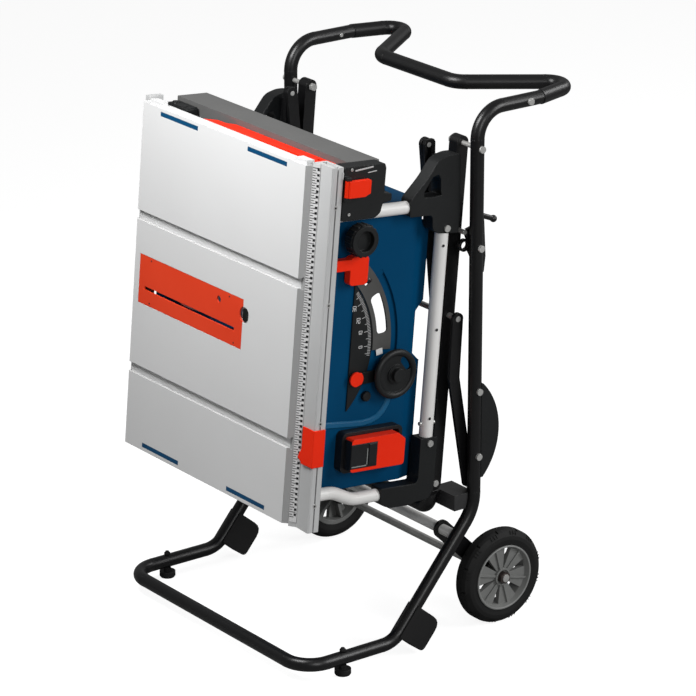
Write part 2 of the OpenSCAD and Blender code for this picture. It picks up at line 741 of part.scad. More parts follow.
module housing() {
    l = housing_v2 - housing_v1;
    color([0.0, 0.25, 0.42]) on_saw() difference() {
        translate([0, -housing_v1, 0]) rotate([90, 0, 0]) linear_extrude(l) housing_section(0);
        translate([0, -housing_v1 - wall, 0]) rotate([90, 0, 0])
            linear_extrude(l - 2 * wall) housing_section(wall);
        // Room for the linkage at the top corner, and a notch in the open side
        x_plate(housing_x1 - 1, housing_x2 + 1) {
            polygon([[-housing_v1 + 1, 0], [-housing_v1 + 1, 82], [-150, 82],
                [-160, housing_low - 1], [-160, 0]]);
            polygon([[-322, 0], [-322, housing_low + 2], [-340, 80], [-428, 80],
                [-446, housing_low + 2], [-446, 0]]);
        }
        // Keeps clear of the front rail on a narrow table
        translate([rail_x1 - seat, -housing_v2 - 1, rail_low - seat])
            cube([60, housing_v2 - housing_v1 + 2, 60]);
        // Curved slot for the handwheel shaft, and windows behind the bevel arc
        x_plate(housing_x2 - 8, housing_x2 + 1) {
            bevel_sector(bevel_r - 9, bevel_r + 9, -37.5 + 19, 37);
            bevel_sector(200, 230, 5, 30);
            bevel_sector(204, 226, 36, 40);
        }
        // Battery mouth
        x_plate(housing_x2 - 8, housing_x2 + 1)
            translate([-battery_v, battery_z]) round_rect(bay_v - 10, bay_w - 10, 8);
        // Bores for the knob and lever spindles
        x_rod(housing_x2 - 8, housing_x2 + 1, -knob_v, knob_z, 6 + pin_fit);
        x_rod(housing_x2 - 8, housing_x2 + 1, -lever_v, lever_z, 6 + pin_fit);
        // Dust outlet in the back wall
        x_rod(housing_x1 - 1, housing_x1 + 8, -blade_v, dust_z, dust_r + pin_fit);
    }
}
battery_v = 607;
battery_z = 187;
bay_v = 84;
bay_w = 150;
lever_v = 228;
lever_z = 250;
dust_r = 32;
dust_z = 175;

module dust_port() {
    color([0.05, 0.05, 0.055]) on_saw() difference() {
        union() {
            x_rod(housing_x1 - 36, housing_x1 + 6, -blade_v, dust_z, dust_r);
            x_rod(housing_x1 - 4, housing_x1 - seat, -blade_v, dust_z, dust_r + 8);
        }
        x_rod(housing_x1 - 37, housing_x1 + 7, -blade_v, dust_z, dust_r - 3);
    }
}

// TABLE

slot_v = [248, 574];
module table_top() {
    pocket_x = [[table_x1 + 7, -102], [-96, 84], [90, table_x2 - 7]];
    pocket_v = [[table_v + 7, slot_v[0] - 17], [slot_v[0] + 17, slot_v[1] - 17],
                [slot_v[1] + 17, table_v + table_l - 7]];
    color([0.83, 0.83, 0.83]) on_saw() difference() {
        union() {
            translate([0, -table_v, 0]) rotate([90, 0, 0]) linear_extrude(table_l)
                polygon([[table_x1, table_h - table_t], [table_x1, table_h - 4], [table_x1 + 4, table_h],
                    [table_x2, table_h], [table_x2 + 9, table_h - 10], [table_x2 + 9, table_h - table_t]]);
            for (x = [table_x1 + 22, table_x2 - 38])
                translate([x, -table_v, table_h - 22]) cube([36, 9, 18]);
        }
        for (px = pocket_x, pv = pocket_v)
            translate([px[0], -pv[1], table_h - table_t - 1])
                cube([px[1] - px[0], pv[1] - pv[0], table_t - skin_t + 1]);
        for (v = slot_v) {
            translate([table_x1 - 1, -v - slot_w / 2, table_h - slot_t])
                cube([table_w + 12, slot_w, slot_t + 1]);
            translate([table_x1 - 1, -v - slot_w / 2 - 2.5, table_h - slot_t])
                cube([table_w + 12, slot_w + 5, 3.5]);
        }
        // Throat opening with a ledge for its plate
        translate([throat_x, -throat_v1 - throat_w, table_h - throat_t])
            cube([throat_l, throat_w, throat_t + 1]);
        translate([throat_x + 8, -throat_v1 - throat_w + 8, table_h - table_t - 1])
            cube([throat_l - 16, throat_w - 16, table_t]);
        translate([lock_x, -lock_v, table_h - 5]) cylinder(h = 6, r = 16);
        translate([lock_x, -lock_v, table_h - table_t - 1]) cylinder(h = table_t, r = 4 + pin_fit);
        inlays(0.1, 2);
    }
}
throat_v1 = 327;
throat_t = 4;
lock_x = throat_x + throat_l + 5;
lock_v = 358;

// Shallow strips along both ends of the table
module inlays(gap, depth) {
    for (x = [-233, 69], v = [table_v + 12, table_v + table_l - 12])
        translate([x - gap, -v - 4.5 - gap, table_h - depth])
            cube([131 + 2 * gap, 9 + 2 * gap, depth + gap * 4]);
}

module edge_inlays() { color([0.0, 0.27, 0.45]) on_saw() inlays(0, 2); }

module throat_plate() {
    g = 0.4;
    color([0.93, 0.27, 0.15]) on_saw() difference() {
        translate([throat_x + g, -throat_v1 - throat_w + g, table_h - throat_t])
            cube([throat_l - 2 * g, throat_w - 2 * g, throat_t - 0.2]);
        translate([throat_x + 20, -blade_v - 4, table_h - throat_t - 1]) cube([318, 8, throat_t + 2]);
        // Undercut that clears the tilted blade
        translate([throat_x + 20, -blade_v, table_h]) rotate([90, 0, 90]) linear_extrude(318)
            polygon([[3, -1], [4, -1], [throat_t + 5, -throat_t - 2], [3, -throat_t - 2]]);
        translate([4, -349, table_h - throat_t - 1]) cylinder(h = throat_t + 2, r = 7);
        translate([lock_x, -lock_v, table_h - throat_t - 1]) cylinder(h = throat_t + 2, r = 17);
    }
}

module throat_lock_knob() {
    color([0.05, 0.05, 0.05]) on_saw() translate([lock_x, -lock_v, 0]) {
        translate([0, 0, table_h - 5 + seat]) linear_extrude(4.5 - seat)
            bar2d([0, -7], [0, 7], 13);
        translate([0, 0, table_h - skin_t - 4]) cylinder(h = skin_t, r = 4);
    }
}

// RAILS

rail_v1 = 4;
rail_v2 = 745;
rail_x1 = table_x2 + 9 + seat;
rail_x2 = rail_x1 + 55;
module front_rail() {
    groove = (rail_low + table_h - 17) / 2;
    color([0.75, 0.75, 0.76]) on_saw() translate([0, -rail_v1, 0]) rotate([90, 0, 0])
        linear_extrude(rail_v2 - rail_v1) difference() {
            polygon([[rail_x1, rail_low], [rail_x1, table_h - 10], [rail_x1 + 14, table_h - 20],
                [rail_x2 - 2, table_h - 17], [rail_x2, table_h - 20], [rail_x2, rail_low]]);
            translate([rail_x2 - 8, groove - 1.5]) square([9, 3]);
            translate([rail_x2 - 8, groove - 5]) square([4, 10]);
            translate([rail_x1 + 6, rail_low + 4]) square([rail_x2 - rail_x1 - 20, 12]);
        }
}

module rail_scale() {
    color([0.92, 0.92, 0.92]) on_saw() translate([0, -rail_v1 - 2, 0]) rotate([90, 0, 0])
        linear_extrude(rail_v2 - rail_v1 - 12)
            polygon([[rail_x1 + 1, table_h - 10.6], [rail_x1 + 1.6, table_h - 9.9],
                [rail_x1 + 13.6, table_h - 18.4], [rail_x1 + 13, table_h - 19.2]]);
}

module rail_cursor() {
    v = 532;
    top = table_h - 20 + 4;
    color([0.92, 0.2, 0.1]) on_saw() {
        translate([0, -v, 0]) rotate([90, 0, 0]) linear_extrude(76)
            polygon([[rail_x1 + 22, top], [rail_x1 + 22, top + 3], [rail_x2 + 4, top + 3],
                [rail_x2 + 4, rail_low + 2], [rail_x2 + seat, rail_low + 2], [rail_x2 + seat, top]]);
        translate([rail_x1 + 11, -v - 66, top]) linear_extrude(3)
            polygon([[0, 0], [12, -7], [12, 20], [5, 12]]);
    }
}

module rear_rail() {
    color([0.6, 0.6, 0.62]) on_saw() translate([table_x1 - 14, -rail_v2, rail_low - 8])
        cube([14 - seat, rail_v2 - rail_v1, 34]);
}

// STORED FENCE AND PUSH STICK

beam_v1 = 6;
beam_v2 = 54;
beam_w1 = 228;
beam_w2 = 300;
beam_x1 = -292;
module fence_beam() {
    color([0.3, 0.3, 0.3]) on_saw() difference() {
        translate([beam_x1, -beam_v2, beam_w1])
            cube([head_x1 - seat - beam_x1, beam_v2 - beam_v1, beam_w2 - beam_w1]);
        translate([beam_x1 - 1, -beam_v2 + 3, beam_w1 + 3])
            cube([head_x1 - beam_x1 + 2, beam_v2 - beam_v1 - 6, beam_w2 - beam_w1 - 6]);
    }
}

latch_v1 = 30;
latch_v2 = 64;
hinge_x = latch_x + 5.8;
hinge_w = rail_low - 8;
hinge_r = 2.5;
head_w1 = beam_w1 + 6;
module fence_head() {
    top = rail_low - 3;
    color([0.04, 0.04, 0.045]) on_saw() {
        x_plate(head_x1, head_x2)
            polygon(soft([[-5, top], [-5, head_w1 + 4], [-14, head_w1], [-64, head_w1 + 1],
                [-67, head_w1 - 18], [-82, head_w1 - 18], [-86, head_w1 + 3],
                [-104, head_w1 + 7], [-113, head_w1 + 20], [-113, top]],
                [6, 3, 3, 2, 4, 4, 2, 5, 5, 6]));
        // Two lugs that hold the pin of the latch
        for (v = [latch_v1 - 7, latch_v2 + 0.5])
            translate([head_x2 - 2, -v - 6.5, hinge_w - 5.5])
                cube([hinge_x - head_x2 + 7, 6.5, 11]);
        rod([hinge_x, -latch_v1 + 4, hinge_w], [hinge_x, -latch_v2 - 4, hinge_w], hinge_r);
    }
}

module fence_hooks() {
    color([0.1, 0.1, 0.1]) on_saw() for (x = [-170, 60]) translate([x, 0, 0]) x_plate(0, 22)
        polygon([[-housing_v1 + seat, 212], [-housing_v1 + seat, beam_w2 + 8],
            [-beam_v2 - 3, beam_w2 + 8], [-beam_v2 - 3, beam_w2 + 3.5],
            [-beam_v2 - seat, beam_w2 + 3.5], [-beam_v2 - seat, beam_w1 - seat],
            [-beam_v1 - 8, beam_w1 - seat], [-beam_v1 - 8, beam_w1 - 7],
            [-beam_v2 - 8, beam_w1 - 12]]);
}

stick_w1 = beam_w2 + seat;
module push_stick() {
    color([0.9, 0.22, 0.12]) on_saw() translate([0, -beam_v1 - 12, 0]) rotate([90, 0, 0])
        linear_extrude(9) difference() {
            polygon([[-150, stick_w1 + 36], [-128, stick_w1 + 14], [-100, stick_w1 + 12],
                [-84, stick_w1], [250, stick_w1], [262, stick_w1 + 10], [240, stick_w1 + 26],
                [20, stick_w1 + 30], [-10, stick_w1 + 44], [-90, stick_w1 + 46]]);
            translate([214, stick_w1 + 13]) circle(r = 5);
        }
}

// Red latch that swings out about the barrel at its upper edge
module fence_latch() {
    v1 = latch_v1 + 0.3;
    v2 = latch_v2 - 0.3;
    low = hinge_w - 51;
    color([0.9, 0.18, 0.08]) on_saw() difference() {
        union() {
            rod([hinge_x, -v1, hinge_w], [hinge_x, -v2, hinge_w], 5.5);
            x_plate(latch_x + 4, latch_x + latch_t)
                polygon([[-v1, hinge_w], [-v1, low + 2], [-v1 - 2, low], [-v2 + 6, low],
                    [-v2, low + 13], [-v2, hinge_w]]);
        }
        rod([hinge_x, 0, hinge_w], [hinge_x, -latch_v2 - 10, hinge_w], hinge_r + pin_fit);
    }
}

// BEVEL AND HEIGHT CONTROLS

module bevel_scale() {
    color([0.04, 0.04, 0.045]) on_saw() x_plate(housing_x2 + seat, housing_x2 + 3) difference() {
        intersection() {
            translate([-blade_v, table_h]) circle(r = 190, $fn = 128);
            translate([-blade_v - 150, table_h - 191]) square([300, 53]);
        }
        translate([-lever_v, lever_z]) circle(r = 26);
    }
}

module bevel_arc() {
    color([0.36, 0.36, 0.36]) on_saw() x_plate(housing_x2 + seat, housing_x2 + 3.6) difference() {
        bevel_sector(192, bevel_r - 10, -3, 48);
        bevel_sector(202, 228, 6, 29);
        bevel_sector(206, 224, 37, 39.5);
        bevel_sector(212, 218, 43, 45);
    }
}

module bevel_knob() {
    face = housing_x2 + 48;
    color([0.05, 0.05, 0.05]) on_saw() translate([0, -knob_v, knob_z]) rotate([0, 90, 0]) {
        difference() {
            union() {
                translate([0, 0, face - 26]) cylinder(h = 20, r = knob_d / 2 - 2);
                translate([0, 0, face - 20]) cylinder(h = 20, r = knob_d / 2 - 3);
                for (i = [0 : 17]) rotate([0, 0, 20 * i]) translate([knob_d / 2 - 3, 0, face - 24])
                    cylinder(h = 20, r = 3, $fn = 16);
                translate([0, 0, housing_x2 - 10]) cylinder(h = face - 20 - housing_x2 + 10, r = 6);
                translate([0, 0, housing_x2 + 4]) cylinder(h = face - 26 - housing_x2 - 4, r = 13);
            }
            translate([0, 0, face - 12]) cylinder(h = 13, r = knob_d / 2 - 13);
        }
    }
}

module bevel_lock_lever() {
    color([0.88, 0.15, 0.07]) on_saw() {
        x_plate(housing_x2 + 4, housing_x2 + 21.5) {
            union() {
                translate([-lever_v - 3, lever_z]) round_rect(58, 44, 8);
                translate([-lever_v, lever_z + 22]) square([22, 34]);
            }
        }
        x_rod(housing_x2 - 10, housing_x2 + 4, -lever_v, lever_z, 6);
    }
}

module battery_bay() {
    color([0.06, 0.06, 0.065]) on_saw() difference() {
        x_plate(housing_x2 + seat, housing_x2 + 22)
            translate([-battery_v, battery_z]) round_rect(bay_v, bay_w, 12);
        x_plate(housing_x2 - 1, housing_x2 + 23)
            translate([-battery_v, battery_z]) round_rect(bay_v - 15.4, bay_w - 15.4, 7);
    }
}

module battery() {
    back = housing_x2 + 44 - battery_l;
    color([0.85, 0.17, 0.08]) on_saw() difference() {
        x_plate(back, back + battery_l)
            translate([-battery_v, battery_z]) round_rect(bay_v - 16, bay_w - 16, 7);
        translate([back + battery_l - 6, -battery_v - 22, battery_z + 6]) cube([7, 44, 54]);
        // Slanting upper corner
        x_plate(back - 1, back + battery_l + 1)
            translate([-battery_v + bay_v / 2 - 8, battery_z - bay_w / 2 + 8])
            polygon([[1, -1], [1, 18], [0, 18], [-14, 0], [-14, -1]]);
    }
}

// The carriage turns about the table line and rides in the curved slot
shaft_v = blade_v - bevel_r * sin(handwheel_a);
shaft_z = table_h - bevel_r * cos(handwheel_a);
shaft_r = 7;
sleeve_r = 9 - seat;
blade_x = -108;
blade_z = table_h - 4 - blade_d / 2;
motor_z = blade_z - 66;
motor_r = 50;
guide_x = -30;
guide_v = 442;
guide_r = 8;
guide_top = table_h - 75;
wall_x = housing_x2 - wall;
module bevel_carriage() {
    color([0.35, 0.35, 0.36]) on_saw() {
        difference() {
            union() {
                x_plate(wall_x - 12, wall_x - 5.4) {
                    bar2d([-shaft_v, shaft_z], [-guide_v, guide_top - 6], 40);
                    bar2d([-guide_v, guide_top - 6], [-blade_v + 8, guide_top + 12], 36);
                }
                x_rod(wall_x - 12, housing_x2 + 8, -shaft_v, shaft_z, sleeve_r);
            }
            x_rod(wall_x - 13, housing_x2 + 9, -shaft_v, shaft_z, shaft_r + pin_fit);
        }
        // Two beams that hold the upright guide rod of the arbor
        translate([guide_x - 14, -guide_v - 14, motor_z - 68])
            cube([wall_x - 12 - guide_x + 14, 24, 12]);
        translate([guide_x - 14, -guide_v - 14, guide_top])
            cube([wall_x - 12 - guide_x + 14, 24, 12]);
        rod([guide_x, -guide_v, motor_z - 57], [guide_x, -guide_v, guide_top + 1], guide_r);
    }
}

module bevel_pointer() {
    color([0.9, 0.12, 0.08]) on_saw() difference() {
        x_plate(housing_x2 + 8, housing_x2 + 12) {
            bar2d([-shaft_v, shaft_z], [-shaft_v - 4, shaft_z + 88], 24);
            translate([-shaft_v - 4, shaft_z + 88]) circle(r = 15);
        }
        x_rod(housing_x2 + 7, housing_x2 + 13, -shaft_v, shaft_z, shaft_r + pin_fit);
    }
}

module arbor_case() {
    color([0.3, 0.3, 0.31]) on_saw() {
        translate([0, -blade_v - 10, 0]) rotate([90, 0, 0]) linear_extrude(16)
            bar2d([blade_x, motor_z], [blade_x, blade_z], 46);
        rod([blade_x, -blade_v + 8, blade_z], [blade_x, -blade_v - 12, blade_z], 8);
        rod([blade_x, -blade_v - 2, blade_z], [blade_x, -blade_v - 12, blade_z], 20);
    }
}

module motor() {
    color([0.12, 0.12, 0.13]) on_saw() difference() {
        union() {
            rod([blade_x, -blade_v - 26 - seat, motor_z], [blade_x, -blade_v - 190, motor_z], motor_r);
            translate([blade_x, -guide_v - 15, motor_z - 22]) cube([guide_x + 16 - blade_x, 30, 44]);
        }
        rod([guide_x, -guide_v, motor_z - 23], [guide_x, -guide_v, motor_z + 23], guide_r + pin_fit);
    }
}

module blade() {
    color([0.75, 0.75, 0.76]) on_saw()
        translate([blade_x, -blade_v - 1.2, blade_z]) rotate([-90, 0, 0]) difference() {
            cylinder(h = 2.4, d = blade_d, $fn = 96);
            translate([0, 0, -1]) cylinder(h = 5, r = 8 + pin_fit);
        }
}

module handwheel() {
    ring_x = housing_x2 + 22;
    color([0.05, 0.05, 0.05]) on_saw() translate([0, -shaft_v, shaft_z]) rotate([0, 90, 0]) {
        translate([0, 0, ring_x]) rotate_extrude($fn = 96)
            translate([handwheel_d / 2 - 7, 0]) circle(r = 7, $fn = 32);
        difference() {
            translate([0, 0, ring_x - 3]) cylinder(h = 5, r = handwheel_d / 2 - 7);
            // Kidney opening between the hub and the rim
            rotate([0, 0, 40]) translate([31, 0, ring_x - 4])
                linear_extrude(8) bar2d([0, -9], [0, 9], 15);
        }
        translate([0, 0, ring_x - 8]) cylinder(h = 13, r = 20);
        translate([0, 0, ring_x - 8]) cylinder(h = 24, r = 14);
        translate([0, 0, housing_x2 - wall - 14]) cylinder(h = 34, r = shaft_r);
    }
}

side_tube_left();
side_tube_right();
handle_bar();
foot_loop();
lower_cross_tube();
axle_brackets();
wheel_axle();
axle_nuts();
skid_plates();
foot_blocks();
levelling_foot_left();
levelling_foot_right();
frame_bolts();
rest_brackets();
pivot_bolts();
wheel_left();
tyre_left();
wheel_right();
tyre_right();
lift_rail_left();
lift_rail_right();
lift_rail_pins();
cross_pins();
cross_arms_lower();
cross_arms_upper();
release_lever();
carrier_plates();
carrier_crossbar();
base_tubes();
corner_brackets_upper();
corner_brackets_lower();
table_supports();
saw_bolts();
housing();
table_top();
throat_plate();
edge_inlays();
front_rail();
rail_scale();
rail_cursor();
rear_rail();
fence_beam();
fence_head();
fence_hooks();
push_stick();
bevel_scale();
bevel_arc();
battery_bay();
dust_port();
fence_latch();
throat_lock_knob();
bevel_knob();
bevel_lock_lever();
battery();
bevel_carriage();
bevel_pointer();
arbor_case();
motor();
blade();
handwheel();
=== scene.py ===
import json
import math

import bmesh
import bpy
from mathutils import Matrix, Vector


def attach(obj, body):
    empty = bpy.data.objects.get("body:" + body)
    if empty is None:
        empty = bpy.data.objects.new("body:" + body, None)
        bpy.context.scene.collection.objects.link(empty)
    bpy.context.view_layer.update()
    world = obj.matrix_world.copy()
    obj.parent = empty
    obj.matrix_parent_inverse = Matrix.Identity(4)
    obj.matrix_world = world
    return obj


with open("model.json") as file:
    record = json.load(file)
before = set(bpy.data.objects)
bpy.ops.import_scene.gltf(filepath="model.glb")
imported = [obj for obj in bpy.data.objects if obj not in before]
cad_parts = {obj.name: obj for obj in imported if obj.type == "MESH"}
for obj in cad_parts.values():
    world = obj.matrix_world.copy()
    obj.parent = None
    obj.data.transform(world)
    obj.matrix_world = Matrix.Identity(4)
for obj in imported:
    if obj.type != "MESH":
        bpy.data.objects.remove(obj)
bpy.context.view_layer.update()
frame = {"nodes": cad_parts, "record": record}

# Frames, in metres
# The stand's sizes are measured from a point that lies this far from the part's origin
SHIFT = Vector((0.00365, -0.014101, 0.0))
# The saw hangs upright on the lift's upper pivot, leaning back by a small angle
LEAN = math.radians(5)
PIVOT = Vector((0.0, 0.075, 1.043))
ON_SAW = Matrix.Translation(PIVOT - SHIFT) @ Matrix.Rotation(math.radians(90) - LEAN, 4, "X")
SAW_TURN = ON_SAW.to_3x3().to_4x4()
# A turn after which Z looks along X, out of the saw's right side
X_OUT = Matrix.Rotation(math.radians(90), 4, "Y")
# The housing's right face, and the axis of the bevel where the blade passes the table's surface
HOUSING_X = 0.262
BEVEL_V = 0.396
BEVEL_W = 0.381
# The front rail's screws, which start just inside its outer face
RAIL_X = 0.3238
RAIL_SCREW_W = 0.351
RAIL_SCREWS_V = (0.084, 0.279, 0.520, 0.690)
# The right base tube's middle, and where its holes' painted shade starts, just inside its outer
# side
BASE_TUBE_X = 0.27825
BASE_TUBE_W = 0.0465
BASE_HOLE_SHADE_X = 0.2916


def saw(x, v, w):
    """A point in the saw's frame: v down the rail, w towards the table, in metres."""
    return ON_SAW @ Vector((x, -v, w))


def saw_matrix(x, v, w, turn=None):
    """The saw's frame moved to a point in it, and turned there if a turn is given."""
    place = Matrix.Translation(saw(x, v, w)) @ SAW_TURN
    return place @ turn if turn else place


def round_bevel(r, angle):
    """The v and w of a point at a radius and an angle in radians about the bevel's axis."""
    return BEVEL_V - r * math.sin(angle), BEVEL_W - r * math.cos(angle)


# Node trees
def new_tree(block):
    """The emptied node tree of a material or a world."""
    block.use_nodes = True
    block.node_tree.nodes.clear()
    return block.node_tree


def add_node(tree, kind, inputs=None, **settings):
    """A node with its settings, and with each input set to a value or linked to a socket."""
    node = tree.nodes.new(kind)
    for name, value in settings.items():
        setattr(node, name, value)
    for name, value in (inputs or {}).items():
        if isinstance(value, bpy.types.NodeSocket):
            tree.links.new(value, node.inputs[name])
        else:
            node.inputs[name].default_value = value
    return node


def noise(tree, **inputs):
    """The value of a noise, from 0 to 1."""
    return add_node(tree, "ShaderNodeTexNoise", inputs).outputs["Fac"]


def calculate(tree, operation, first, second):
    """The result of a named operation on two values."""
    node = add_node(tree, "ShaderNodeMath", {0: first, 1: second}, operation=operation)
    return node.outputs["Value"]


def remap(tree, value, **ends):
    """A value carried from one range to another, with an end named as from_min or to_max."""
    named = {name.replace("_", " ").title(): end for name, end in ends.items()}
    return add_node(tree, "ShaderNodeMapRange", {"Value": value, **named}).outputs["Result"]


def ramp(tree, factor, low, high, places=(0.0, 1.0)):
    """A colour that goes from low to high as the factor goes from one place to the other."""
    node = add_node(tree, "ShaderNodeValToRGB", {"Fac": factor})
    for stop, place, colour in zip(node.color_ramp.elements, places, (low, high)):
        stop.position = place
        stop.color = (*colour, 1)
    return node.outputs["Color"]


def mix_colours(tree, factor, first, second):
    """The first colour, or the second where the factor is one."""
    colour_a, colour_b, colour_out = 6, 7, 2
    node = add_node(tree, "ShaderNodeMix",
                    {"Factor": factor, colour_a: first, colour_b: (*second, 1)}, data_type="RGBA")
    return node.outputs[colour_out]


def mix_shaders(tree, factor, first, second):
    """The first shader, or the second where the factor is one."""
    return add_node(tree, "ShaderNodeMixShader", {0: factor, 1: first, 2: second}).outputs["Shader"]


# Materials
# The reach of rubbed edges and the height of the grain, in metres, and the spread of roughness
RUB_REACH = 0.0022
GRAIN_HEIGHT = 0.0002
GLOSS_SPREAD = 0.07


def rubbed(tree, place, scale):
    """One in patches along the edges and corners, and zero elsewhere."""
    bent = add_node(tree, "ShaderNodeBevel", {"Radius": RUB_REACH}).outputs["Normal"]
    flat = add_node(tree, "ShaderNodeNewGeometry").outputs["Normal"]
    turn = add_node(tree, "ShaderNodeVectorMath", {0: bent, 1: flat}, operation="DOT_PRODUCT")
    edge = remap(tree, turn.outputs["Value"], from_min=0.985, from_max=0.90)
    patches = noise(tree, Vector=place, Scale=scale, Detail=5.0)
    return calculate(tree, "MULTIPLY", edge, remap(tree, patches, from_min=0.52, from_max=0.70))


def material(name, dark, light, rough, metallic=0.0, spec=0.5, grain=60.0, fine=900.0, bump=0.1,
             round_mm=0.8, stretch=None, wear=None):
    """A surface with broad colour change, fine grain in its gloss and height, and soft edges.

    grain and fine are the scales of the two noises, and stretch draws the fine one out. bump is
    its strength in the height, round_mm is the radius of the edges, and wear is the colour that
    they rub to.
    """
    mat = bpy.data.materials.new(name)
    tree = new_tree(mat)
    place = add_node(tree, "ShaderNodeTexCoord").outputs["Object"]
    drawn = place
    if stretch:
        mapping = add_node(tree, "ShaderNodeMapping", {"Vector": place, "Scale": stretch})
        drawn = mapping.outputs["Vector"]
    broad = noise(tree, Vector=place, Scale=grain * 0.12, Detail=4.0, Roughness=0.55)
    small = noise(tree, Vector=drawn, Scale=fine, Detail=3.0, Roughness=0.6)
    colour = ramp(tree, broad, dark, light, (0.3, 0.7))
    if wear:
        colour = mix_colours(tree, rubbed(tree, place, grain * 1.6), colour, wear)
    soft = add_node(tree, "ShaderNodeBevel", {"Radius": round_mm / 1000}, samples=4)
    height = add_node(tree, "ShaderNodeBump", {
        "Strength": bump, "Distance": GRAIN_HEIGHT, "Height": small,
        "Normal": soft.outputs["Normal"]})
    shader = add_node(tree, "ShaderNodeBsdfPrincipled", {
        "Base Color": colour, "Metallic": metallic, "Specular IOR Level": spec,
        "Roughness": remap(tree, small, to_min=rough - GLOSS_SPREAD, to_max=rough + GLOSS_SPREAD),
        "Normal": height.outputs["Normal"]})
    add_node(tree, "ShaderNodeOutputMaterial", {"Surface": shader.outputs["BSDF"]})
    return mat


